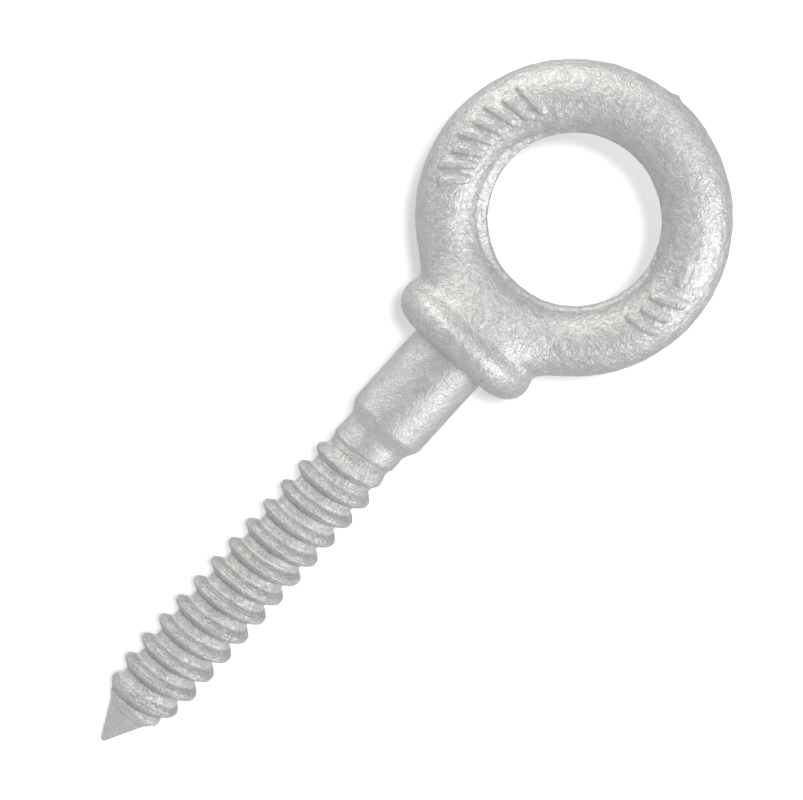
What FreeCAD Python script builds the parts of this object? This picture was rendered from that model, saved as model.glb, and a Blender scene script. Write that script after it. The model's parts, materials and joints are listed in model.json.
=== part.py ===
import FreeCAD, Part
import math
import os

# Screw eye bolt with a shoulder, a plain shank and a lag thread, forged in one piece.
# Each region of the forging is written as its own solid, and neighbours meet face to face.
# Millimetres. The shank runs along Z with the eye up, the eye lies in the XZ plane, and the
# origin is the middle of the flat under the shoulder, which seats on the work.

# --- driving dimensions ---
SHANK_DIAMETER = 16.2
LENGTH_UNDER_SHOULDER = 101.6
THREADS_PER_INCH = 5
EYE_INNER_DIAMETER = 33.4
EYE_OUTER_DIAMETER = 60.5
EYE_THICKNESS = 13.4
EYE_CENTRE_HEIGHT = 35.3
SHOULDER_DIAMETER = 30.4
SHOULDER_RIM_HEIGHT = 4.6
SHOULDER_TOP = 7.2
SEAT_DIAMETER = 22.0
SHANK_CROWN = 3.0
PLAIN_SHANK_LENGTH = 18.4
THREAD_DIAMETER = 15.8
THREAD_ROOT_DIAMETER = 11.4
RELIEF_DIAMETER = 13.2

# --- derived sizes ---
SHANK_R = SHANK_DIAMETER / 2
PITCH = 25.4 / THREADS_PER_INCH
CREST_R = THREAD_DIAMETER / 2
ROOT_R = THREAD_ROOT_DIAMETER / 2
RELIEF_R = RELIEF_DIAMETER / 2
BORE_R = EYE_INNER_DIAMETER / 2
TUBE_R = EYE_THICKNESS / 2
TUBE_CENTRE_R = EYE_OUTER_DIAMETER / 2 - TUBE_R

# --- heights along the shank, from the seat down ---
SHANK_END = -PLAIN_SHANK_LENGTH
TAPER_END = SHANK_END - 2.5
RELIEF_END = TAPER_END - 4.5
FULL_THREAD_START = RELIEF_END - 5.6
FULL_THREAD_END = -82.0
THREAD_END = -92.9
POINT_SHOULDER_Z = -94.2
TIP_Z = -LENGTH_UNDER_SHOULDER
POINT_SHOULDER_R = 4.2
TIP_R = 0.4

# --- trimmed flash land round the inside of the eye ---
LAND_HALF_WIDTH = 1.9
LAND_CREASE_R = BORE_R + 1.9
LAND_CREASE_HALF = 3.4

# --- thread ridge, seen in a plane through the axis ---
CREST_FLAT = 0.7
FLANK_RUN = 1.35
# The swept ridge starts this far inside the root, and stands a quarter of it past the crest.
RIDGE_SPARE = 0.5
# The crest passes the +X side of the shank at this height, which sets where the turns fall.
CREST_Z_AT_X = -88.3

# --- neck between shoulder and eye: (height, half width along X, half depth along Y) ---
NECK_SECTIONS = (
    (5.6, 14.2, 13.0),
    (7.8, 14.0, 11.6),
    (10.0, 15.0, 10.2),
    (12.5, 15.8, 8.6),
    (15.5, 16.0, 7.1),
)

UP = FreeCAD.Vector(0, 0, 1)
ACROSS_EYE = FreeCAD.Vector(0, 1, 0)
ORIGIN = FreeCAD.Vector(0, 0, 0)
EYE_CENTRE = FreeCAD.Vector(0, 0, EYE_CENTRE_HEIGHT)


def outline_wire(points):
    """A closed polygon through the given (radius, height) pairs, in the XZ plane."""
    corners = [FreeCAD.Vector(r, 0, z) for r, z in points]
    return Part.makePolygon(corners + corners[:1])


def turned(points):
    """The solid of revolution about Z whose half section is the given polygon."""
    return Part.Face(outline_wire(points)).revolve(ORIGIN, UP, 360)


def quarter_ellipse(centre_r, centre_z, rim_r, reach_z):
    """The edge from the rim to the flat end of a rounded lip, as a quarter of an ellipse."""
    half_r = rim_r - centre_r
    centre = FreeCAD.Vector(centre_r, 0, centre_z)
    across = FreeCAD.Vector(half_r, 0, 0)
    along = FreeCAD.Vector(0, 0, reach_z)
    if half_r >= abs(reach_z):
        ellipse = Part.Ellipse(centre + across, centre + along, centre)
    else:
        ellipse = Part.Ellipse(centre + along, centre - across, centre)
    rim, flat = centre + across, centre + along
    first, last = sorted((ellipse.parameter(rim), ellipse.parameter(flat)))
    if last - first > math.pi:
        first, last = last, first + 2 * math.pi
    return ellipse.toShape(first, last)


def make_shoulder(plain_shank):
    """The round collar: a flat seat, a fully rounded rim and a short top the neck grows from."""
    rim_r = SHOULDER_DIAMETER / 2
    seat_r = SEAT_DIAMETER / 2
    top_r = rim_r - 3.6
    under = quarter_ellipse(seat_r, SHOULDER_RIM_HEIGHT, rim_r, -SHOULDER_RIM_HEIGHT)
    over = quarter_ellipse(top_r, SHOULDER_RIM_HEIGHT, rim_r, SHOULDER_TOP - SHOULDER_RIM_HEIGHT)
    seat_edge = FreeCAD.Vector(seat_r, 0, 0)
    top_edge = FreeCAD.Vector(top_r, 0, SHOULDER_TOP)
    top_middle = FreeCAD.Vector(0, 0, SHOULDER_TOP)
    edges = [
        Part.makeLine(ORIGIN, seat_edge),
        under,
        over,
        Part.makeLine(top_edge, top_middle),
        Part.makeLine(top_middle, ORIGIN),
    ]
    wire = Part.Wire(Part.__sortEdges__(edges))
    return Part.Face(wire).revolve(ORIGIN, UP, 360).cut(plain_shank)


def neck_section(height, half_width, half_depth):
    """One level slice of the neck, an ellipse that is wider along the eye than across it."""
    ellipse = Part.Ellipse(FreeCAD.Vector(0, 0, height), half_width, half_depth)
    return Part.Wire(ellipse.toShape())


def make_neck(shoulder):
    """The saddle that flares from the shoulder's top up both sides of the eye."""
    block = Part.makeLoft([neck_section(*s) for s in NECK_SECTIONS], True)
    return block.cut(shoulder)


def make_eye(neck, shoulder):
    """The round ring of the eye, with the flash land left by trimming its inside."""
    ring = Part.makeTorus(TUBE_CENTRE_R, TUBE_R, EYE_CENTRE, ACROSS_EYE)
    inside = TUBE_CENTRE_R
    half_section = (
        (BORE_R, -LAND_HALF_WIDTH),
        (LAND_CREASE_R, -LAND_CREASE_HALF),
        (inside, -LAND_CREASE_HALF),
        (inside, LAND_CREASE_HALF),
        (LAND_CREASE_R, LAND_CREASE_HALF),
        (BORE_R, LAND_HALF_WIDTH),
    )
    corners = [EYE_CENTRE + FreeCAD.Vector(r, y, 0) for r, y in half_section]
    land = Part.Face(Part.makePolygon(corners + corners[:1])).revolve(EYE_CENTRE, ACROSS_EYE, 360)
    return ring.fuse(land).cut(neck).cut(shoulder)


def make_plain_shank():
    """The plain part of the shank, which tapers down to the thread relief at its lower end.

    Its top is a shallow cone inside the shoulder, so the seat stays a flat ring round it.
    """
    return turned(
        (
            (0, SHANK_CROWN),
            (SHANK_R, 0),
            (SHANK_R, SHANK_END),
            (RELIEF_R, TAPER_END),
            (0, TAPER_END),
        )
    )


def make_relief():
    """The thinner stretch between the plain shank and the first turn of the thread."""
    return turned(
        (
            (0, TAPER_END),
            (RELIEF_R, TAPER_END),
            (RELIEF_R, RELIEF_END),
            (0, RELIEF_END),
        )
    )


def ridge_profile():
    """The ridge's cross-section at the start of its helix, a trapezium with its wide side in.

    Both flanks run on past the root and the crest, so the trimmed ridge keeps its flat crest.
    """
    slope = FLANK_RUN / (CREST_R - ROOT_R)
    crest_half = CREST_FLAT / 2
    low_half = crest_half + FLANK_RUN + RIDGE_SPARE * slope
    high_half = crest_half - RIDGE_SPARE / 4 * slope
    low_r = ROOT_R - RIDGE_SPARE
    high_r = CREST_R + RIDGE_SPARE / 4
    return (
        (low_r, -low_half),
        (high_r, -high_half),
        (high_r, high_half),
        (low_r, low_half),
    )


def make_thread():
    """The right-hand lag thread on its root, fading in at the relief and out at the point."""
    turns_below = math.ceil((CREST_Z_AT_X - THREAD_END) / PITCH) + 1
    start_z = CREST_Z_AT_X - turns_below * PITCH
    turns = math.ceil((RELIEF_END - start_z) / PITCH) + 1
    helix = Part.makeLongHelix(PITCH, turns * PITCH, ROOT_R)
    profile = outline_wire(ridge_profile())
    ridge = Part.Wire(helix.Edges).makePipeShell([profile], True, True)
    ridge.translate(FreeCAD.Vector(0, 0, start_z))
    root = turned(
        (
            (0, THREAD_END),
            (ROOT_R - 0.2, THREAD_END),
            (ROOT_R, THREAD_END + 4.0),
            (ROOT_R, FULL_THREAD_START),
            (ROOT_R + 0.5, RELIEF_END),
            (0, RELIEF_END),
        )
    )
    envelope = turned(
        (
            (0, THREAD_END),
            (ROOT_R, THREAD_END),
            (CREST_R - 1.2, THREAD_END + 2.0),
            (CREST_R, FULL_THREAD_END),
            (CREST_R, FULL_THREAD_START),
            (RELIEF_R, RELIEF_END),
            (0, RELIEF_END),
        )
    )
    return ridge.common(envelope).fuse(root)


def make_point():
    """The short chamfer and blunt cone that start the screw in timber."""
    return turned(
        (
            (0, THREAD_END),
            (ROOT_R - 0.2, THREAD_END),
            (POINT_SHOULDER_R, POINT_SHOULDER_Z),
            (TIP_R, TIP_Z),
            (0, TIP_Z),
        )
    )


def save(name, shape):
    """Writes one region as its own file, after a check that it is one closed solid."""
    solids = shape.Solids
    if len(solids) != 1 or not solids[0].isValid():
        raise ValueError(f"{name} is {len(solids)} solids, valid: {shape.isValid()}")
    solids[0].exportStep(f"parts/{name}.step")
    print(name, round(solids[0].Volume, 1), solids[0].BoundBox)


def main():
    os.makedirs("parts", exist_ok=True)
    plain_shank = make_plain_shank()
    shoulder = make_shoulder(plain_shank)
    neck = make_neck(shoulder)
    save("eye_ring", make_eye(neck, shoulder))
    save("eye_neck", neck)
    save("shoulder_collar", shoulder)
    save("plain_shank", plain_shank)
    save("thread_relief", make_relief())
    save("lag_thread", make_thread())
    save("cone_point", make_point())


main()
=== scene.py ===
import json
import math

import bmesh
import bpy
import numpy as np
from mathutils import Matrix, Vector


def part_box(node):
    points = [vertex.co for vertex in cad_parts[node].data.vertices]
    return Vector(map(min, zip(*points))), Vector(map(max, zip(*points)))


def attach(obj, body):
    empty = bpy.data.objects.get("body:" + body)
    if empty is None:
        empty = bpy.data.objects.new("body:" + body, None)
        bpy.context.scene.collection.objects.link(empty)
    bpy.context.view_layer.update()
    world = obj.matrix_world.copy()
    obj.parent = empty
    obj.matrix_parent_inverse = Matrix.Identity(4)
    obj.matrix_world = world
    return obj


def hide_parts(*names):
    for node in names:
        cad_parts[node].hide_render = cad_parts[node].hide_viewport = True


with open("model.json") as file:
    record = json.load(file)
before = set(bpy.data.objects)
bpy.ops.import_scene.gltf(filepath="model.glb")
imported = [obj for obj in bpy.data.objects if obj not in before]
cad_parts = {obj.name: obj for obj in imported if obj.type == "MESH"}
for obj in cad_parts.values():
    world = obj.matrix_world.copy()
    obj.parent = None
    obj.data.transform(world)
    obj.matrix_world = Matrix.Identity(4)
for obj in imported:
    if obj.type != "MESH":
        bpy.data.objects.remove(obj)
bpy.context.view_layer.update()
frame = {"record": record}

# A forged, galvanised screw eye bolt. Shapes are worked out in millimetres, in the frame of the
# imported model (+Z up the shank to the eye, the eye in the XZ plane, the marked face towards -Y),
# and are scaled to metres when their mesh is made.
MM = 0.001


def node_box(name):
    """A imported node's lowest and highest corners, in millimetres."""
    low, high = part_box(name)
    return np.array(low) / MM, np.array(high) / MM


def mount_radius(name):
    """A mount's radius in millimetres."""
    return next(m for m in frame["record"]["mounts"] if m["name"] == name)["dims"]["r_mm"]


# --- sizes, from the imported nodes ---
EYE_LOW, EYE_HIGH = node_box("eye_ring")
NECK_LOW, NECK_HIGH = node_box("eye_neck")
COLLAR_LOW, COLLAR_HIGH = node_box("shoulder_collar")
SHANK_LOW, SHANK_HIGH = node_box("plain_shank")
RELIEF_LOW, RELIEF_HIGH = node_box("thread_relief")
THREAD_LOW, THREAD_HIGH = node_box("lag_thread")
POINT_LOW = node_box("cone_point")[0]

EYE_R = EYE_HIGH[0]
EYE_Z = EYE_HIGH[2] - EYE_R
EYE_THICK = EYE_HIGH[1] - EYE_LOW[1]
BORE_R = mount_radius("eye_bore")
COLLAR_R = COLLAR_HIGH[0]
COLLAR_TOP = COLLAR_HIGH[2]
NECK_TOP = NECK_HIGH[2]
SHANK_R = SHANK_HIGH[0]
RELIEF_R = RELIEF_HIGH[0]
CREST_R = THREAD_HIGH[0]
TAPER_END = SHANK_LOW[2]
RELIEF_END = RELIEF_LOW[2]
THREAD_END = THREAD_LOW[2]
TIP_Z = POINT_LOW[2]

# --- sizes that no packed box shows ---
ROOT_R = 5.8
PITCH = 5.08
TAPER_START = TAPER_END + 2.5
SHANK_START = 2.0
RIM_Z = 4.6
POINT_SHOULDER_Z = THREAD_END - 1.3
POINT_SHOULDER_R = 4.2
TIP_R = 0.4


# ---------------------------------------------------------------- noise and blends

NOISE_RNG = np.random.default_rng(7)
SHUFFLE = NOISE_RNG.permutation(256)
SHUFFLE = np.concatenate([SHUFFLE, SHUFFLE, SHUFFLE[:2]])
GRADIENTS = NOISE_RNG.normal(size=(256, 3))
GRADIENTS /= np.linalg.norm(GRADIENTS, axis=1)[:, None]
# Brings the noise, whose raw peaks are well under 1, to about -1 to 1.
NOISE_GAIN = 1.6


def noise(points, size, offset=0.0):
    """Smooth gradient noise, about -1 to 1, whose lumps are about size across."""
    p = points / size + offset
    cell = np.floor(p).astype(int)
    f = p - cell
    cell &= 255
    fade = f * f * f * (f * (f * 6 - 15) + 10)
    total = np.zeros(len(p))
    for i in (0, 1):
        for j in (0, 1):
            for k in (0, 1):
                corner = SHUFFLE[SHUFFLE[SHUFFLE[cell[:, 0] + i] + cell[:, 1] + j] + cell[:, 2] + k]
                away = f - (i, j, k)
                weight = np.ones(len(p))
                for axis, bit in enumerate((i, j, k)):
                    weight *= fade[:, axis] if bit else 1 - fade[:, axis]
                total += weight * np.einsum("ij,ij->i", GRADIENTS[corner], away)
    return total * NOISE_GAIN


def lumps(points, layers):
    """Noise added up from layers of (height, size of a lump, offset into the noise)."""
    return sum(height * noise(points, size, offset) for height, size, offset in layers)


def smooth_min(a, b, width):
    """The union of two fields, with a fillet about width across where they meet."""
    h = np.maximum(width - np.abs(a - b), 0) / width
    return np.minimum(a, b) - h * h * width / 4


def step_up(x, low, high):
    """0 below low, 1 above high and smooth between."""
    t = np.clip((x - low) / (high - low), 0, 1)
    return t * t * (3 - 2 * t)


# ---------------------------------------------------------------- the forged head as a field

def ring_angle(p):
    """The angle round the eye in degrees, 0 at +X and 90 at the top."""
    return np.degrees(np.arctan2(p[:, 2] - EYE_Z, p[:, 0]))


def ring_distance(p):
    """The distance from the middle of the eye, seen square on."""
    return np.hypot(p[:, 0], p[:, 2] - EYE_Z)


# The eye's hole sits a little to one side of its ring, as a punch that is off centre leaves it.
HOLE_SHIFT_X, HOLE_SHIFT_Z = 0.3, -0.1
# The flash land round the hole: (angle round the eye, how far it stands in from the ring).
LAND_STEPS = ((-90, 0.85), (-40, 0.4), (-12, 0.65), (0, 0.75), (12, 0.5), (30, 0.12),
              (140, 0.12), (160, 0.8), (180, 1.3), (215, 1.35), (235, 1.15), (270, 0.85))
# The land's half width at the hole, how much wider it is each millimetre further out, what
# turns its sides' field into about a distance, and how far out it reaches.
LAND_HALF_WIDTH = 1.5
LAND_SPREAD = 0.62
LAND_SIDE_SCALE = 0.81
LAND_REACH = 4.5


def hole_edge(angle):
    """The hole's radius at an angle round the eye."""
    turn = np.radians(angle)
    return BORE_R + HOLE_SHIFT_X * np.cos(turn) + HOLE_SHIFT_Z * np.sin(turn)


def ring_field(p):
    """The round ring, left with a step inside it where the trimmed flash land stands proud."""
    rho = ring_distance(p)
    angle = ring_angle(p)
    inner = hole_edge(angle) + np.interp((angle + 90) % 360 - 90, *zip(*LAND_STEPS))
    tube_r = (EYE_R - inner) / 2
    flat = tube_r / (EYE_THICK / 2)
    return np.hypot(rho - inner - tube_r, p[:, 1] * flat) - tube_r


def land_field(p):
    """The flat band that trimming the flash leaves inside the eye, with sloping shoulders."""
    rho = ring_distance(p)
    inner = hole_edge(ring_angle(p))
    half = LAND_HALF_WIDTH + (rho - inner) * LAND_SPREAD
    band = np.maximum(inner - rho, (np.abs(p[:, 1]) - half) * LAND_SIDE_SCALE)
    return np.maximum(band, rho - inner - LAND_REACH)


# The shoulder and neck sit this far along X from the shank's axis, a mismatch of the dies that
# sets in over the height from the seat to the second value.
DIE_SHIFT = 0.22
DIE_SHIFT_FULL_Z = 3.0
# The neck's level slices, as ellipses: (height, half width along X, half depth along Y).
NECK_SLICES = ((4.0, 13.2, 13.4), (7.8, 13.1, 11.6), (10.0, 14.5, 10.3),
               (12.5, 15.0, 8.7), (15.5, 14.6, 6.8))
NECK_FOOT_Z = NECK_SLICES[0][0]
# How far below its packed foot, inside the shoulder, the neck goes on changing.
NECK_SINK = 1.5
NECK_TOP_SPARE = 0.3
# The rounded rim's reach outwards, under and over its widest level.
UNDER_RIM = 4.2
OVER_RIM = 3.6
# The seat's wear, and the distances towards the front and to the sides over which it fades.
SEAT_WEAR = 0.5
WEAR_FRONT = (3, 10)
WEAR_SIDES = (11, 4)
# Widths of the fillets where the parts of the forging run together.
LAND_FILLET = 0.18
NECK_TOP_FILLET = 4.0
COLLAR_FILLET = 2.4
EYE_FILLET = 4.0


def neck_field(p):
    """The saddle between shoulder and ring, an ellipse in plan that changes with height."""
    heights, half_widths, half_depths = zip(*NECK_SLICES)
    z = np.clip(p[:, 2], NECK_LOW[2] - NECK_SINK, NECK_TOP)
    half_x = np.interp(z, heights, half_widths)
    half_y = np.interp(z, heights, half_depths)
    u, v = (p[:, 0] - DIE_SHIFT) / half_x, p[:, 1] / half_y
    size = np.hypot(u, v)
    slope = np.hypot(u / half_x, v / half_y) / np.maximum(size, 1e-6)
    side = (size - 1) / np.maximum(slope, 1 / half_x)
    above = -smooth_min(-side, NECK_TOP + NECK_TOP_SPARE - p[:, 2], NECK_TOP_FILLET)
    return np.maximum(above, NECK_FOOT_Z - p[:, 2])


def collar_field(p):
    """The round shoulder: flat seat and rounded rim, the seat's front edge worn a little up."""
    rho = np.hypot(p[:, 0] - DIE_SHIFT * step_up(p[:, 2], 0, DIE_SHIFT_FULL_Z), p[:, 1])
    worn = SEAT_WEAR * step_up(-p[:, 1], *WEAR_FRONT) * step_up(np.abs(p[:, 0]), *WEAR_SIDES)
    below = p[:, 2] < RIM_Z
    centre = np.where(below, COLLAR_R - UNDER_RIM, COLLAR_R - OVER_RIM)
    reach_r = COLLAR_R - centre
    reach_z = np.where(below, RIM_Z - worn, COLLAR_TOP - RIM_Z)
    u = np.maximum(rho - centre, 0) / reach_r
    v = (p[:, 2] - RIM_Z) / reach_z
    size = np.hypot(u, v)
    slope = np.hypot(u / reach_r, v / reach_z) / np.maximum(size, 1e-6)
    return (size - 1) / np.maximum(slope, 1 / reach_r)


def head_field(p):
    """Negative inside the eye, neck and shoulder, all one forging."""
    eye = smooth_min(ring_field(p), land_field(p), LAND_FILLET)
    base = smooth_min(neck_field(p), collar_field(p), COLLAR_FILLET)
    return smooth_min(eye, base, EYE_FILLET)


# How much of a raised bar's half width its corners are rounded by.
BAR_ROUNDING = 0.6


def bar_mark(along, across, half_long, half_wide):
    """How far inside a rounded bar a point lies; negative outside."""
    corner = half_wide * BAR_ROUNDING
    dx = np.abs(along) - half_long + corner
    dy = np.abs(across) - half_wide + corner
    outside = np.hypot(np.maximum(dx, 0), np.maximum(dy, 0))
    return corner - outside - np.minimum(np.maximum(dx, dy), 0)


# Raised hatching on the marked face, where such a forging carries its code: plain bars given as
# (angle round the eye, distance out, half length, half width) in degrees and millimetres.
HATCH_LEAN = 0.45
HATCH_HEIGHT = 0.7
# The bars' sides slope between these depths inside their outline, and the bars fade out between
# these distances in front of the eye's middle plane.
HATCH_SIDES = (-0.15, 0.2)
HATCH_FRONT = (1.0, 2.5)
HATCH = (
    [(150 + 7.6 * n, 24.0 - 0.4 * (n % 2), 3.2 - 0.5 * (n % 2), 0.78) for n in range(8)]
    + [(17.5, 23.6, 0.8, 3.4)]
    + [(2.0 - 8.0 * n, 23.9, 3.0 - 0.5 * (n % 2), 0.8) for n in range(3)]
)


def mark_height(p):
    """How proud the hatching stands, 0 to 1, on the face towards -Y."""
    rho = ring_distance(p)
    angle = ring_angle(p)
    height = np.zeros(len(p))
    for middle, radius, half_long, half_wide in HATCH:
        along = rho - radius
        across = ((angle - middle + 180) % 360 - 180) * math.pi / 180 * radius
        if half_long > half_wide:
            across = (across - HATCH_LEAN * along) / math.hypot(1, HATCH_LEAN)
        depth = bar_mark(along, across, half_long, half_wide)
        height = np.maximum(height, step_up(depth, *HATCH_SIDES))
    return height * step_up(-p[:, 1], *HATCH_FRONT)


# Broad unevenness of the forged skin, and the fine grit of its zinc, as layers of lumps.
HEAD_SWELLS = ((0.10, 9.0, 1.3), (0.05, 4.0, 5.1))
HEAD_GRIT = ((0.06, 1.3, 9.4),)
# The zinc's worm-like wrinkles, drawn out round the eye and fainter below these heights.
WRINKLE_HEIGHT = 0.1
WRINKLE_Z = (12, 18)
WRINKLES_BELOW = 0.4
WRINKLE_SIZE = 1.6
WRINKLE_SHARPNESS = 1.6
WRINKLE_STRETCH = 1.8
RING_MIDDLE_R = 23
# The line where the dies parted round the outside of the eye, and a stub of flash at its top.
PARTING_Z = (8, 14)
PARTING_WIDTH = 0.55
PARTING_HEIGHT = 0.10
PARTING_UNEVENNESS = ((0.08, 5.0, 4.4),)
STUB_X = -0.8
STUB_SIZE = 0.9
STUB_HEIGHT = 0.45


def head_relief(p):
    """The forged skin's departure from the smooth field, in millimetres."""
    rho = ring_distance(p)
    strength = WRINKLES_BELOW + (1 - WRINKLES_BELOW) * step_up(p[:, 2], *WRINKLE_Z)
    around = np.radians(ring_angle(p)) * RING_MIDDLE_R
    drawn = np.stack([around / WRINKLE_STRETCH, rho, p[:, 1]], axis=1)
    wrinkles = 0.5 - np.abs(noise(drawn, WRINKLE_SIZE, 2.2)) * WRINKLE_SHARPNESS
    crinkle = strength * WRINKLE_HEIGHT * wrinkles + lumps(p, HEAD_GRIT)
    parting = np.exp(-(p[:, 1] / PARTING_WIDTH) ** 2) * step_up(rho, EYE_R - 3, EYE_R - 1)
    parting *= step_up(p[:, 2], *PARTING_Z) * (PARTING_HEIGHT + lumps(p, PARTING_UNEVENNESS))
    stub = np.exp(-((p[:, 0] - STUB_X) / STUB_SIZE) ** 2 - (p[:, 1] / STUB_SIZE) ** 2)
    stub *= STUB_HEIGHT * (p[:, 2] > EYE_Z + EYE_R - 2)
    marks = HATCH_HEIGHT * mark_height(p)
    return lumps(p, HEAD_SWELLS) + crinkle + marks + parting + stub


# ---------------------------------------------------------------- the screw as a radius

CREST_Z_AT_X = -88.3
CREST_HALF = 0.36
BASE_HALF = 1.68
GROOVE_START = RELIEF_END + 0.2
# How much higher the step into the thread's groove is at +X, and lower at -X, than its middle.
GROOVE_TILT = 0.75
# The screw's outline without its thread, as (height, radius) from the point up.
OUTLINE = (
    (TIP_Z, TIP_R),
    (POINT_SHOULDER_Z, POINT_SHOULDER_R),
    (THREAD_END + 0.1, ROOT_R - 0.4),
    (THREAD_END + 1.2, ROOT_R - 0.2),
    (THREAD_END + 5, ROOT_R),
    (RELIEF_END - 5.6, ROOT_R + 0.05),
    (RELIEF_END - 2.6, ROOT_R + 0.25),
    (GROOVE_START - 0.25, ROOT_R + 0.5),
    (GROOVE_START + 0.1, RELIEF_R + 0.08),
    (TAPER_END - 0.8, RELIEF_R),
    (TAPER_END, RELIEF_R + 0.1),
    (TAPER_END + 0.8, RELIEF_R + 0.42),
    (TAPER_START - 0.3, SHANK_R - 0.24),
    (TAPER_START + 0.4, SHANK_R),
    (SHANK_START, SHANK_R),
)
# How far the thread's crest stands from the axis, as (height, radius) from the point up.
CREST_LINE = (
    (THREAD_END, 5.8),
    (-90.8, 6.75),
    (-88.3, 7.25),
    (-85.8, 7.6),
    (-83.2, 7.8),
    (-79.0, CREST_R + 0.03),
    (-36.0, CREST_R - 0.04),
    (-32.4, CREST_R - 0.18),
    (-29.8, CREST_R - 0.35),
    (-27.5, 6.75),
    (RELIEF_END, 6.45),
)
# The rolled thread strays towards the point all round, and further on its front.
EVEN_WANDER = 0.08
FRONT_WANDER = 0.42
WANDER_SHARPNESS = 1.5
# The last turn is broader on its eye side, which sets in between these heights.
LAST_TURN_FROM, LAST_TURN_TO = -87.0, -90.0
LAST_TURN_SPREAD = 0.45
# The exponent that bulges the ridge's flanks, and how far its crest and root are rounded, as
# parts of its height.
FLANK_BULGE = 1.2
CREST_ROUNDING = 0.4
ROOT_ROUNDING = 0.06


def thread_wander(phi):
    """How far the rolled thread strays towards the point, once a turn, from a true helix."""
    return EVEN_WANDER + FRONT_WANDER * np.maximum(-np.sin(phi), 0) ** WANDER_SHARPNESS


def thread_wave(turn_z, z):
    """The ridge's height from 0 to 1 at a distance along Z from its crest, within a pitch."""
    gap = ((turn_z / PITCH + 0.5) % 1.0 - 0.5) * PITCH
    last = step_up(z, LAST_TURN_FROM, LAST_TURN_TO)
    gap = np.where(gap > 0, gap / (1 + LAST_TURN_SPREAD * last), gap)
    flank = np.clip((BASE_HALF - np.abs(gap)) / (BASE_HALF - CREST_HALF), 0, 1)
    bulged = 1 - (1 - flank) ** FLANK_BULGE
    top = smooth_min(bulged, 1.0, CREST_ROUNDING) / (1 - CREST_ROUNDING / 4)
    return -smooth_min(-top, 0.0, ROOT_ROUNDING)


def screw_radius(phi, z):
    """The radius of shank, relief, thread and point at an angle in radians and a height."""
    near_groove = step_up(z, GROOVE_START - 4, GROOVE_START - 1)
    near_groove = near_groove * step_up(z, TAPER_END, TAPER_END - 2)
    base = np.interp(z - GROOVE_TILT * np.cos(phi) * near_groove, *zip(*OUTLINE))
    turn = z - CREST_Z_AT_X - PITCH * phi / (2 * math.pi) + thread_wander(phi)
    threaded = step_up(z, THREAD_END, THREAD_END + 0.5)
    threaded = threaded * step_up(z, RELIEF_END + 0.2, RELIEF_END - 0.6)
    height = np.maximum(np.interp(z, *zip(*CREST_LINE)) - base, 0) * threaded
    return base + height * thread_wave(turn, z)


# The screw's unevenness and its zinc's grain, as layers of lumps.
SCREW_SWELLS = ((0.05, 6.0, 3.3), (0.035, 2.4, 8.8))
SCREW_GRAIN = ((0.018, 0.8, 6.1),)
# Folds that rolling leaves along the thread, and their heights on most turns and the first.
ROLLED_LAPS = ((1.0, 0.7, 1.9), (0.6, 0.36, 5.7))
LAP_HEIGHT = 0.06
FIRST_LAP_HEIGHT = 0.05
LAP_STRETCH = 1.2
# How much smoother the cut cone is than the rest.
CONE_SMOOTHNESS = 0.6


def screw_relief(p, phi):
    """The rolled and galvanised skin's departure from the smooth screw, in millimetres."""
    z = p[:, 2]
    cone = step_up(z, POINT_SHOULDER_Z + 0.2, POINT_SHOULDER_Z - 0.5)
    thread = step_up(z, RELIEF_END, RELIEF_END - 3) * (1 - cone)
    first_turn = step_up(z, -36, -32) * step_up(z, GROOVE_START, GROOVE_START - 1)
    lap_z = z - PITCH * phi / (2 * math.pi) + thread_wander(phi)
    laps = lumps(np.stack([phi * LAP_STRETCH, np.zeros(len(z)), lap_z], axis=1), ROLLED_LAPS)
    skin = lumps(p, SCREW_SWELLS) + lumps(p, SCREW_GRAIN)
    lapped = laps * (LAP_HEIGHT * thread + FIRST_LAP_HEIGHT * first_turn)
    return skin * (1 - CONE_SMOOTHNESS * cone) + lapped


# ---------------------------------------------------------------- meshes

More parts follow.
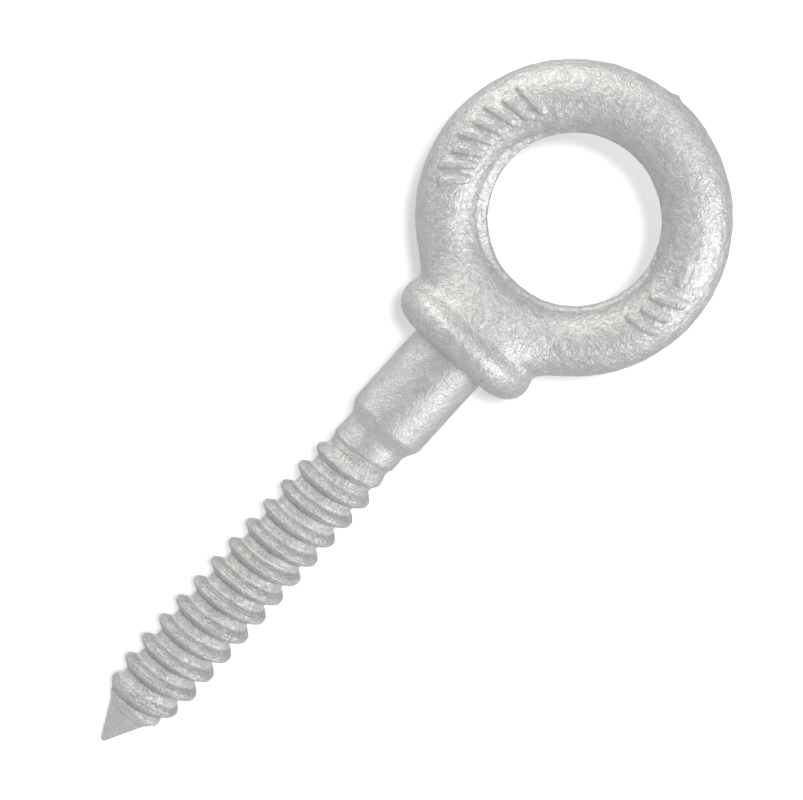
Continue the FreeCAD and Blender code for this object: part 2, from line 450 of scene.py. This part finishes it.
def surface_net(field, low, high, step):
    """A quad mesh of the field's zero surface: (vertices, quads)."""
    counts = np.ceil((high - low) / step).astype(int) + 1
    axes = [low[i] + step * np.arange(counts[i]) for i in range(3)]
    values = np.empty(counts)
    for i, x in enumerate(axes[0]):
        yy, zz = np.meshgrid(axes[1], axes[2], indexing="ij")
        slab = np.stack([np.full(yy.size, x), yy.ravel(), zz.ravel()], axis=1)
        values[i] = field(slab).reshape(counts[1], counts[2])
    cells = counts - 1
    total, hits = np.zeros((*cells, 3)), np.zeros(cells)
    crossings = []
    for axis in range(3):
        a = values.take(range(counts[axis] - 1), axis)
        b = values.take(range(1, counts[axis]), axis)
        crossed = (a < 0) != (b < 0)
        t = np.where(crossed, a / np.where(crossed, a - b, 1), 0)
        crossings.append((crossed, a < 0))
        others = [i for i in range(3) if i != axis]
        for di in (0, 1):
            for dj in (0, 1):
                cut = [slice(None)] * 3
                cut[others[0]] = slice(di, di + cells[others[0]])
                cut[others[1]] = slice(dj, dj + cells[others[1]])
                c = crossed[tuple(cut)]
                hits += c
                total[..., axis] += t[tuple(cut)] * c
                total[..., others[0]] += di * c
                total[..., others[1]] += dj * c
    used = hits > 0
    number = np.full(cells, -1)
    number[used] = np.arange(used.sum())
    corner = np.argwhere(used)
    vertices = low + step * (corner + total[used] / hits[used][:, None])
    quads = []
    for axis in range(3):
        crossed, first_inside = crossings[axis]
        o1, o2 = [i for i in range(3) if i != axis]
        at = np.argwhere(crossed)
        at = at[(at[:, o1] > 0) & (at[:, o2] > 0)]
        at = at[(at[:, o1] < cells[o1]) & (at[:, o2] < cells[o2])]
        ring = []
        for d1, d2 in ((1, 1), (0, 1), (0, 0), (1, 0)):
            c = at.copy()
            c[:, o1] -= d1
            c[:, o2] -= d2
            ring.append(number[tuple(c.T)])
        quad = np.stack(ring, axis=1)
        flip = first_inside[tuple(at.T)] == (axis == 1)
        quad[flip] = quad[flip][:, ::-1]
        quads.append(quad)
    return vertices, np.concatenate(quads)


def gradient(field, p, reach=0.02):
    """The field's slope at each point, by central differences."""
    slopes = []
    for axis in range(3):
        shift = np.zeros(3)
        shift[axis] = reach
        slopes.append((field(p + shift) - field(p - shift)) / (2 * reach))
    return np.stack(slopes, axis=1)


def settle(field, p, rounds=3):
    """Moves points onto the field's zero surface; returns them and their outward normals."""
    for _ in range(rounds):
        slope = gradient(field, p)
        p = p - slope * (field(p) / np.maximum((slope**2).sum(axis=1), 1e-6))[:, None]
    slope = gradient(field, p)
    return p, slope / np.linalg.norm(slope, axis=1)[:, None]


def new_mesh(name, vertices, faces):
    """A Blender mesh from millimetre vertices and faces that all have as many corners."""
    mesh = bpy.data.meshes.new(name)
    corners = faces.shape[1]
    mesh.vertices.add(len(vertices))
    mesh.vertices.foreach_set("co", (vertices * MM).ravel())
    mesh.loops.add(faces.size)
    mesh.loops.foreach_set("vertex_index", faces.ravel())
    mesh.polygons.add(len(faces))
    mesh.polygons.foreach_set("loop_start", np.arange(0, faces.size, corners))
    mesh.update(calc_edges=True)
    mesh.polygons.foreach_set("use_smooth", np.ones(len(faces), bool))
    mesh.validate()
    return mesh


def show(name, mesh, node, material):
    """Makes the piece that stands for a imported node, riding on its body."""
    obj = bpy.data.objects.new(name, mesh)
    bpy.context.scene.collection.objects.link(obj)
    mesh.materials.append(material)
    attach(obj, "root")
    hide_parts(node)


# How near a level, in millimetres, an edge of a level cut has to lie.
LEVEL_TOLERANCE = 0.02


def fill_level(bm, level):
    """Fills the open edges that lie at a level, in millimetres, with a flat cap of new faces."""
    rim = [e for e in bm.edges if e.is_boundary]
    loop = [e for e in rim if abs(e.verts[0].co.z / MM - level) < LEVEL_TOLERANCE]
    if not loop:
        return []
    made = bmesh.ops.triangle_fill(bm, use_beauty=True, use_dissolve=False, edges=loop)
    return [item for item in made["geom"] if isinstance(item, bmesh.types.BMFace)]


def cut_piece(bm, name, low_z, high_z):
    """The part of a closed mesh between two levels that it is already cut at, with flat caps.

    The outer skin keeps the whole mesh's normals, so its shading runs on across the cuts.
    """
    part = bmesh.new()
    vertex = {}
    normal_of = []
    for face in bm.faces:
        if not low_z < face.calc_center_median().z / MM < high_z:
            continue
        for v in face.verts:
            if v.index not in vertex:
                vertex[v.index] = part.verts.new(v.co)
                normal_of.append(v.normal.copy())
        part.faces.new([vertex[v.index] for v in face.verts]).smooth = True
    skin = len(part.faces)
    for level, up in ((low_z, -1), (high_z, 1)):
        for cap in fill_level(part, level):
            cap.normal_update()
            if cap.normal.z * up < 0:
                cap.normal_flip()
    mesh = bpy.data.meshes.new(name)
    part.to_mesh(mesh)
    part.free()
    normals = []
    for polygon in mesh.polygons:
        for index in polygon.vertices:
            smooth = polygon.index < skin
            normals.append(normal_of[index] if smooth else polygon.normal)
    mesh.normals_split_custom_set(normals)
    return mesh


HEAD_STEP = 0.3
# The seat stays flat: the skin's relief fades in from it over this height.
SEAT_FADE = 0.8
FAR_Z = 1000.0


def make_head(material):
    """The eye, neck and shoulder: one skin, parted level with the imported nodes."""
    step = HEAD_STEP
    low = np.array([EYE_LOW[0], COLLAR_LOW[1], 0.0]) - 2 * step
    high = np.array([EYE_HIGH[0], COLLAR_HIGH[1], EYE_HIGH[2]]) + 2 * step
    vertices, quads = surface_net(head_field, low, high, step)
    vertices, normals = settle(head_field, vertices)
    lift = head_relief(vertices) * step_up(vertices[:, 2], 0.0, SEAT_FADE)
    vertices = vertices + normals * lift[:, None]
    whole = new_mesh("head", vertices, quads)
    bm = bmesh.new()
    bm.from_mesh(whole)
    bpy.data.meshes.remove(whole)
    for level in (COLLAR_TOP, NECK_TOP):
        geometry = bm.verts[:] + bm.edges[:] + bm.faces[:]
        bmesh.ops.bisect_plane(
            bm, geom=geometry, dist=1e-6, plane_co=(0, 0, level * MM), plane_no=(0, 0, 1)
        )
    bm.normal_update()
    bm.verts.index_update()
    spans = (
        ("eye_ring", NECK_TOP, FAR_Z),
        ("eye_neck", COLLAR_TOP, NECK_TOP),
        ("shoulder_collar", -FAR_Z, COLLAR_TOP),
    )
    for node, low_z, high_z in spans:
        name = node + "_skin"
        show(name, cut_piece(bm, name, low_z, high_z), node, material)
    bm.free()


def screw_points(phi, z):
    """Points of the finished screw surface at angles and heights."""
    r = screw_radius(phi, z)
    p = np.stack([r * np.cos(phi), r * np.sin(phi), z], axis=1)
    r = r + screw_relief(p, phi)
    return np.stack([r * np.cos(phi), r * np.sin(phi), z], axis=1)


RING_POINTS = 200


def make_turned(node, heights, material):
    """A closed piece of the screw between two level cuts, from rings of points."""
    name = node + "_skin"
    phi = np.linspace(0, 2 * math.pi, RING_POINTS, endpoint=False)
    rows = [screw_points(phi, np.full(RING_POINTS, z)) for z in heights]
    first = np.arange(RING_POINTS)
    after = (first + 1) % RING_POINTS
    band = np.stack([first, after, after + RING_POINTS, first + RING_POINTS], axis=1)
    quads = [band + RING_POINTS * row for row in range(len(rows) - 1)]
    mesh = new_mesh(name, np.concatenate(rows), np.concatenate(quads))
    close_ends(mesh)
    show(name, mesh, node, material)


def close_ends(mesh):
    """Fills a tube's open ends with flat caps that meet its side in a sharp edge."""
    bm = bmesh.new()
    bm.from_mesh(mesh)
    rim = [e for e in bm.edges if e.is_boundary]
    for edge in rim:
        edge.smooth = False
    for level in sorted({round(e.verts[0].co.z / MM, 2) for e in rim}):
        for cap in fill_level(bm, level):
            cap.smooth = False
    bmesh.ops.recalc_face_normals(bm, faces=bm.faces[:])
    bm.to_mesh(mesh)
    bm.free()


THREAD_COLUMNS = 180
# Heights of the thread's mesh rows from its crest, closest together where its profile bends.
THREAD_ROWS = (-2.5, -2.15, -1.9, -1.75, -1.64, -1.48, -1.2, -0.92, -0.7, -0.52, -0.36, -0.18,
               0.0, 0.18, 0.36, 0.52, 0.7, 0.92, 1.2, 1.48, 1.64, 1.75, 1.9, 2.15)


def make_thread(material):
    """The lag thread, as rows that follow the helix, cut level at both ends."""
    # The spare turns past both ends are cut off.
    offsets = np.array(THREAD_ROWS)
    rows_per_turn = len(offsets)
    around = THREAD_COLUMNS
    turns_below = math.ceil((CREST_Z_AT_X - THREAD_END) / PITCH) + 2
    turns = math.ceil((RELIEF_END - THREAD_END) / PITCH) + 5
    rows = turns * rows_per_turn
    row = np.repeat(np.arange(rows), around)
    phi = np.tile(np.arange(around) / around * 2 * math.pi, rows)
    crest = CREST_Z_AT_X + PITCH * (row // rows_per_turn - turns_below)
    z = crest + offsets[row % rows_per_turn] + PITCH * phi / (2 * math.pi) - thread_wander(phi)
    number = np.arange(len(phi)).reshape(-1, around)
    quads = []
    for r in range(rows - 1):
        here, above = number[r], number[r + 1]
        quads.append(np.stack([here[:-1], here[1:], above[1:], above[:-1]], axis=1))
        seam = r + rows_per_turn
        if seam + 1 < rows:
            onward = number[seam][0], number[seam + 1][0]
            quads.append(np.array([[here[-1], onward[0], onward[1], above[-1]]]))
    mesh = new_mesh("lag_thread_skin", screw_points(phi, z), np.concatenate(quads))
    bm = bmesh.new()
    bm.from_mesh(mesh)
    for level, side in ((RELIEF_END, 1), (THREAD_END, -1)):
        bmesh.ops.bisect_plane(
            bm, geom=bm.verts[:] + bm.edges[:] + bm.faces[:], dist=1e-7,
            plane_co=(0, 0, level * MM), plane_no=(0, 0, side), clear_outer=True,
        )
    bm.to_mesh(mesh)
    bm.free()
    close_ends(mesh)
    show("lag_thread_skin", mesh, "lag_thread", material)


ROW_HEIGHT = 0.3
RELIEF_ROWS = 16
CHAMFER_ROWS = 7
CONE_ROWS = 26
# The edge between chamfer and cone is kept sharp by rows this close on both sides of it.
EDGE_ROW_GAP = 0.06


def make_plain_shank(material):
    """The plain shank, from inside the shoulder down to the foot of its taper."""
    heights = np.arange(SHANK_START, TAPER_END + 0.2, -ROW_HEIGHT)
    make_turned("plain_shank", np.append(heights, TAPER_END), material)


def make_relief(material):
    """The thinner stretch above the first turn of the thread."""
    make_turned("thread_relief", np.linspace(TAPER_END, RELIEF_END, RELIEF_ROWS), material)


def make_point(material):
    """The short chamfer and the blunt cone."""
    chamfer = np.linspace(THREAD_END, POINT_SHOULDER_Z + EDGE_ROW_GAP, CHAMFER_ROWS)
    edge = (POINT_SHOULDER_Z, POINT_SHOULDER_Z - EDGE_ROW_GAP)
    cone = np.linspace(POINT_SHOULDER_Z - ROW_HEIGHT, TIP_Z, CONE_ROWS)
    make_turned("cone_point", np.concatenate([chamfer, edge, cone]), material)


# ---------------------------------------------------------------- materials

def add_node(tree, kind, inputs, operation=None):
    """Adds a shader node, with each input linked to the output given or set to the value given."""
    node = tree.nodes.new("ShaderNode" + kind)
    if operation:
        node.operation = operation
    for key, value in inputs.items():
        if isinstance(value, bpy.types.NodeSocket):
            tree.links.new(value, node.inputs[key])
        else:
            node.inputs[key].default_value = value
    return node


def maths(tree, operation, first, second=0.0):
    """The output of an operation on one or two numbers."""
    return add_node(tree, "Math", {0: first, 1: second}, operation).outputs[0]


def remap(tree, value, low, high, new_low=0.0, new_high=1.0):
    """A value carried from one range over to another, and held at its ends."""
    spans = {"From Min": low, "From Max": high, "To Min": new_low, "To Max": new_high}
    return add_node(tree, "MapRange", {"Value": value, **spans}).outputs["Result"]


def add_ramp(tree, factor, stops):
    """The colour of a ramp through stops of (position, colour)."""
    node = add_node(tree, "ValToRGB", {"Fac": factor})
    elements = node.color_ramp.elements
    elements[0].position, elements[1].position = stops[0][0], stops[-1][0]
    elements[0].color, elements[1].color = (*stops[0][1], 1), (*stops[-1][1], 1)
    for position, colour in stops[1:-1]:
        elements.new(position).color = (*colour, 1)
    return node.outputs["Color"]


def grey(value):
    """A colour with three equal parts."""
    return (value, value, value)


def object_axes(tree):
    """The outputs X, Y and Z of a place in the piece's own frame, in metres."""
    place = add_node(tree, "TexCoord", {})
    split = add_node(tree, "SeparateXYZ", {0: place.outputs["Object"]})
    return [split.outputs[axis] for axis in "XYZ"]


def multiply_colour(tree, factor):
    """Multiplies what already feeds the shader's base colour by another colour or a value."""
    socket = tree.nodes["Principled BSDF"].inputs["Base Color"]
    inputs = {0: socket.links[0].from_socket, 1: factor}
    tree.links.new(add_node(tree, "VectorMath", inputs, "MULTIPLY").outputs[0], socket)


def add_bump(tree, height, distance):
    """Raises the skin by a height times a distance, on top of any bump that is already there."""
    socket = tree.nodes["Principled BSDF"].inputs["Normal"]
    inputs = {"Strength": 1.0, "Distance": distance, "Height": height}
    if socket.is_linked:
        inputs["Normal"] = socket.links[0].from_socket
    tree.links.new(add_node(tree, "Bump", inputs).outputs["Normal"], socket)


ZINC_METALLIC = 0.85
ZINC_ROUGHNESS = (0.36, 0.5)
ZINC_DARK = (0.57, 0.575, 0.57)
ZINC_LIGHT = (0.72, 0.72, 0.71)
# Scale per millimetre, detail and roughness of each noise, and the distortion of one.
MOTTLE = (0.45, 6, 0.7)
SPECKLE = (2.6, 3, 0.7)
DULLNESS = (0.9, 4, 0.6)
CRINKLES = (0.85, 3, 0.6, 1.2)
GRAINS = (2.8, 2, 0.6)
CRINKLE_DEPTH = 0.32 * MM
GRAIN_DEPTH = 0.13 * MM
# The part of the grain's depth that is there even on an uncrinkled skin.
PLAIN_GRAIN = 0.4


def zinc_material(name, crinkle, rougher=0.0, dark=ZINC_DARK, light=ZINC_LIGHT, contrast=0.11):
    """Hot-dip zinc on steel: pale grey, mottled, with a crinkled and granular skin."""
    mat = bpy.data.materials.new(name)
    mat.use_nodes = True
    tree = mat.node_tree
    shader = tree.nodes["Principled BSDF"]
    shader.inputs["Metallic"].default_value = ZINC_METALLIC
    place = add_node(tree, "TexCoord", {}).outputs["Object"]
    in_mm = add_node(tree, "VectorMath", {0: place, "Scale": 1 / MM}, "SCALE").outputs[0]

    def cloud(scale, detail, roughness, distortion=0.0):
        inputs = {"Vector": in_mm, "Scale": scale, "Detail": detail}
        inputs.update({"Roughness": roughness, "Distortion": distortion})
        return add_node(tree, "TexNoise", inputs).outputs["Fac"]

    colour = add_ramp(tree, cloud(*MOTTLE), ((0.32, dark), (0.68, light)))
    tree.links.new(colour, shader.inputs["Base Color"])
    multiply_colour(tree, remap(tree, cloud(*SPECKLE), 0.35, 0.65, 1 - contrast, 1 + contrast))
    low, high = (value + rougher for value in ZINC_ROUGHNESS)
    tree.links.new(remap(tree, cloud(*DULLNESS), 0.3, 0.7, low, high), shader.inputs["Roughness"])
    add_bump(tree, cloud(*CRINKLES), CRINKLE_DEPTH * crinkle)
    add_bump(tree, cloud(*GRAINS), GRAIN_DEPTH * (PLAIN_GRAIN + (1 - PLAIN_GRAIN) * crinkle))
    return mat


def thread_place(tree):
    """The outputs height, and height from the crest's wandering helix, both in millimetres."""
    x, y, z = object_axes(tree)
    phi = maths(tree, "ARCTAN2", y, x)
    z = maths(tree, "MULTIPLY", z, 1 / MM)
    front = maths(tree, "MULTIPLY", maths(tree, "SINE", phi), -1.0)
    front = maths(tree, "POWER", maths(tree, "MAXIMUM", front, 0.0), WANDER_SHARPNESS)
    wander = maths(tree, "ADD", maths(tree, "MULTIPLY", front, FRONT_WANDER), EVEN_WANDER)
    helix = maths(tree, "SUBTRACT", z, maths(tree, "MULTIPLY", phi, PITCH / (2 * math.pi)))
    return z, maths(tree, "ADD", maths(tree, "ADD", helix, wander), -CREST_Z_AT_X)


# Painted light and shade on the zinc against the distance from a crest, in millimetres towards
# the eye: bright in the root, painted shade low on both flanks, and thin painted highlight lines
# on the crest and by the root.
THREAD_PAINTED_LIGHT_AND_SHADE = ((-2.54, 1.1), (-1.92, 1.08), (-1.66, 0.75), (-1.3, 0.88), (-0.5, 1.02),
                 (-0.2, 1.0), (-0.08, 1.2), (0.1, 0.93), (1.1, 0.89), (1.28, 0.85),
                 (1.5, 1.2), (1.72, 1.27), (1.95, 1.1), (2.54, 1.1))
# A colour ramp holds values up to 1, so the painted light and shade values are divided by this
# and multiplied back.
BRIGHTEST_PAINTED_LIGHT = 1.3
# Heights between which the painted light and shade fade in, going down the thread.
PAINTED_LIGHT_FROM_Z, PAINTED_LIGHT_FULL_Z = -30.5, -33.5


def add_thread_painted_light_and_shade(tree, z, turn):
    """Paints light and shade into the zinc's colour along the thread's helix, from the first full
    turn down.
    """
    in_pitch = maths(tree, "FRACT", maths(tree, "ADD", maths(tree, "DIVIDE", turn, PITCH), 0.5))
    stops = [(0.5 + gap / PITCH, grey(painted_shading / BRIGHTEST_PAINTED_LIGHT)) for gap, painted_shading in THREAD_PAINTED_LIGHT_AND_SHADE]
    painted_shading = maths(tree, "MULTIPLY", add_ramp(tree, in_pitch, stops), BRIGHTEST_PAINTED_LIGHT)
    # Multiplies the painted shade and painted highlights into the zinc's colour.
    multiply_colour(tree, remap(tree, z, PAINTED_LIGHT_FROM_Z, PAINTED_LIGHT_FULL_Z, 1.0, painted_shading))


LINE_SCALE = 3.2
LINE_DETAIL = 2.0
LINE_DRIFT = 0.02
LINE_CONTRAST = 0.05
LINE_DEPTH = 0.12 * MM


def add_rolling_lines(tree, z, turn):
    """Draws the fine lines that rolling dies leave along a thread.

    The noise is read round a circle, once for each pitch, so that the turns run on unbroken.
    """
    angle = maths(tree, "MULTIPLY", turn, 2 * math.pi / PITCH)
    circle = {"X": maths(tree, "COSINE", angle), "Y": maths(tree, "SINE", angle)}
    drift = maths(tree, "MULTIPLY", z, LINE_DRIFT)
    ring = add_node(tree, "CombineXYZ", {**circle, "Z": drift}).outputs[0]
    inputs = {"Vector": ring, "Scale": LINE_SCALE, "Detail": LINE_DETAIL}
    lines = add_node(tree, "TexNoise", inputs).outputs["Fac"]
    multiply_colour(tree, remap(tree, lines, 0.35, 0.65, 1 - LINE_CONTRAST, 1 + LINE_CONTRAST))
    add_bump(tree, lines, LINE_DEPTH)


def rolled_zinc():
    """The thread's zinc, the roughest, with its painted light and shade and its rolling lines."""
    mat = zinc_material("zinc_rolled", crinkle=1.6, contrast=0.18)
    z, turn = thread_place(mat.node_tree)
    add_thread_painted_light_and_shade(mat.node_tree, z, turn)
    add_rolling_lines(mat.node_tree, z, turn)
    return mat


# Painted shade across the line between chamfer and cone, from half a millimetre below it to above.
POINT_EDGE_HALF = 0.5
POINT_EDGE_PAINTED_SHADE = ((0.38, 0.97), (0.46, 0.76), (0.56, 0.78), (0.66, 1.0))


def point_zinc():
    """The point's smooth zinc, with a painted shade line where the rough chamfer meets the cone."""
    dark, light = (0.66, 0.68, 0.67), (0.73, 0.75, 0.74)
    mat = zinc_material("zinc_point", crinkle=0.2, rougher=0.08, dark=dark, light=light)
    tree = mat.node_tree
    z = object_axes(tree)[2]
    low, high = ((POINT_SHOULDER_Z + side * POINT_EDGE_HALF) * MM for side in (-1, 1))
    stops = [(position, grey(painted_shading)) for position, painted_shading in POINT_EDGE_PAINTED_SHADE]
    # Painted shade along the edge between chamfer and cone.
    multiply_colour(tree, add_ramp(tree, remap(tree, z, low, high), stops))
    return mat


# ---------------------------------------------------------------- stage, light and camera

# The shank lies with its eye nearer the camera than its point; this is that tilt's sine.
TILT = 0.135
VIEW_DISTANCE = 1.054
CLIP_END = 20
LENS = 246.0
LOOK_AT = Vector((-1.1, 0.0, -12.9)) * MM
# The shank's direction in the picture, as parts right and up.
ALONG_IN_VIEW = Vector((0.67045, 0.74195))

TO_CAMERA = Vector((0, -math.sqrt(1 - TILT**2), TILT))
SHANK_IN_VIEW = (Vector((0, 0, 1)) - TO_CAMERA * TILT).normalized()
ACROSS_IN_VIEW = Vector((1, 0, 0))
VIEW_RIGHT = ALONG_IN_VIEW.x * SHANK_IN_VIEW + ALONG_IN_VIEW.y * ACROSS_IN_VIEW
VIEW_UP = ALONG_IN_VIEW.y * SHANK_IN_VIEW - ALONG_IN_VIEW.x * ACROSS_IN_VIEW


def facing(origin, back, up):
    """A world matrix at origin whose -Z looks away from back, with its Y near up."""
    back = back.normalized()
    right = up.cross(back).normalized()
    axes = Matrix((right, back.cross(right), back)).transposed()
    return Matrix.Translation(origin) @ axes.to_4x4()


def put(name, data, matrix):
    """Makes an object from its data and links it to the scene at a world matrix."""
    obj = bpy.data.objects.new(name, data)
    bpy.context.scene.collection.objects.link(obj)
    obj.matrix_world = matrix
    return obj


def make_camera():
    """A long lens that looks straight down at the floor, with the bolt between."""
    data = bpy.data.cameras.new("camera")
    data.lens = LENS
    data.clip_end = CLIP_END
    place = facing(LOOK_AT + TO_CAMERA * VIEW_DISTANCE, TO_CAMERA, VIEW_UP)
    bpy.context.scene.camera = put("camera", data, place)


# Softboxes: name, metres right, up and towards the camera from the bolt in the main view, width
# and height in metres, power in watts and colour.
SOFTBOXES = (
    ("key_right", (0.45, -0.2, 0.28), (0.28, 0.5), 1.65, (1.0, 1.0, 1.0)),
    ("fill_top", (-0.12, 0.48, 0.17), (0.6, 0.6), 1.85, (1.0, 0.97, 0.94)),
    ("rim_back", (0.3, 0.2, -0.6), (0.6, 0.6), 1.6, (1.0, 1.0, 1.0)),
)


def make_softbox(name, offset, size, power, colour):
    """A soft rectangular lamp that is aimed at the bolt."""
    data = bpy.data.lights.new(name, "AREA")
    data.shape = "RECTANGLE"
    data.size, data.size_y = size
    data.energy = power
    data.color = colour
    right, up, towards = offset
    away = VIEW_RIGHT * right + VIEW_UP * up + TO_CAMERA * towards
    put(name, data, facing(LOOK_AT + away, away, SHANK_IN_VIEW))


OVERHEAD_STRENGTH = 1.9
OVERHEAD_ANGLE = 0.1
# How far the overhead lamp leans from the camera's direction, as parts right and up.
OVERHEAD_LEAN = (0.078, 0.03)


def make_overhead():
    """A far lamp almost straight above the floor, for the bolt's narrow shadow on it."""
    data = bpy.data.lights.new("overhead", "SUN")
    data.energy = OVERHEAD_STRENGTH
    data.angle = OVERHEAD_ANGLE
    right, up = OVERHEAD_LEAN
    away = TO_CAMERA + VIEW_RIGHT * right + VIEW_UP * up
    lamp = put("overhead", data, facing(LOOK_AT + away, away, SHANK_IN_VIEW))
    lamp.visible_glossy = False


FLOOR_SIDE = 6.0
FLOOR_GAP = 10 * MM
FLOOR_GREY = 0.77
FLOOR_GLOW = 0.06
FLOOR_BOUNCE = 0.6
# The floor's gap is measured from here, just under the tip.
UNDER_POINT = Vector((0, 0.15, TIP_Z)) * MM


def floor_material():
    """Matt white to the camera, an even glow to the light that bounces off it to the bolt.

    It is clear from behind, so that a view from there shows the bolt, and it casts no shadow.
    """
    mat = bpy.data.materials.new("floor_white")
    mat.use_nodes = True
    tree = mat.node_tree
    tree.nodes.clear()

    def choose(factor, otherwise, chosen):
        return add_node(tree, "MixShader", {0: factor, 1: otherwise, 2: chosen}).outputs[0]

    matt = add_node(tree, "BsdfDiffuse", {"Color": (*grey(FLOOR_GREY), 1)}).outputs[0]
    glow = add_node(tree, "Emission", {"Strength": FLOOR_GLOW}).outputs[0]
    seen = add_node(tree, "AddShader", {0: matt, 1: glow}).outputs[0]
    bounce = add_node(tree, "Emission", {"Strength": FLOOR_BOUNCE}).outputs[0]
    clear = add_node(tree, "BsdfTransparent", {}).outputs[0]
    path = add_node(tree, "LightPath", {})
    behind = add_node(tree, "NewGeometry", {}).outputs["Backfacing"]
    front = choose(path.outputs["Is Camera Ray"], bounce, seen)
    front = choose(path.outputs["Is Shadow Ray"], front, clear)
    add_node(tree, "OutputMaterial", {"Surface": choose(behind, front, clear)})
    return mat


def make_floor():
    """The pale table under the bolt, parallel to the line from its point to its shoulder."""
    bm = bmesh.new()
    bmesh.ops.create_grid(bm, x_segments=1, y_segments=1, size=FLOOR_SIDE / 2)
    mesh = bpy.data.meshes.new("floor")
    bm.to_mesh(mesh)
    bm.free()
    place = facing(UNDER_POINT - TO_CAMERA * FLOOR_GAP, TO_CAMERA, SHANK_IN_VIEW)
    floor = put("floor", mesh, place)
    mesh.materials.append(floor_material())


# The world's brightness on the bolt away from the camera and towards it, and the cosines of the
# angle to the camera between which it dims.
WORLD_BRIGHT, WORLD_DIM = 0.65, 0.47
WORLD_DIMS_FROM, WORLD_DIMS_TO = 0.3, 0.95


def make_world():
    """White to the camera, and a soft light on the bolt that is dimmest from the camera's side."""
    world = bpy.data.worlds.new("studio")
    bpy.context.scene.world = world
    world.use_nodes = True
    tree = world.node_tree
    place = add_node(tree, "TexCoord", {}).outputs["Generated"]
    ahead = add_node(tree, "VectorMath", {0: place, 1: TO_CAMERA}, "DOT_PRODUCT").outputs["Value"]
    light = remap(tree, ahead, WORLD_DIMS_FROM, WORLD_DIMS_TO, WORLD_BRIGHT, WORLD_DIM)
    to_camera = add_node(tree, "LightPath", {}).outputs["Is Camera Ray"]
    back = tree.nodes["Background"]
    back.inputs["Color"].default_value = (1, 1, 1, 1)
    tree.links.new(remap(tree, to_camera, 0.0, 1.0, light, 1.0), back.inputs["Strength"])


def main():
    """Makes the camera, the bolt's pieces from the eye down, the stage and the lamps."""
    make_camera()
    make_head(zinc_material("zinc_forged", crinkle=1.0))
    turned = zinc_material("zinc_turned", crinkle=0.5, rougher=0.03)
    make_plain_shank(turned)
    make_relief(turned)
    make_thread(rolled_zinc())
    make_point(point_zinc())
    make_floor()
    make_world()
    make_overhead()
    for softbox in SOFTBOXES:
        make_softbox(*softbox)
    bpy.context.scene.view_settings.view_transform = "Standard"


main()
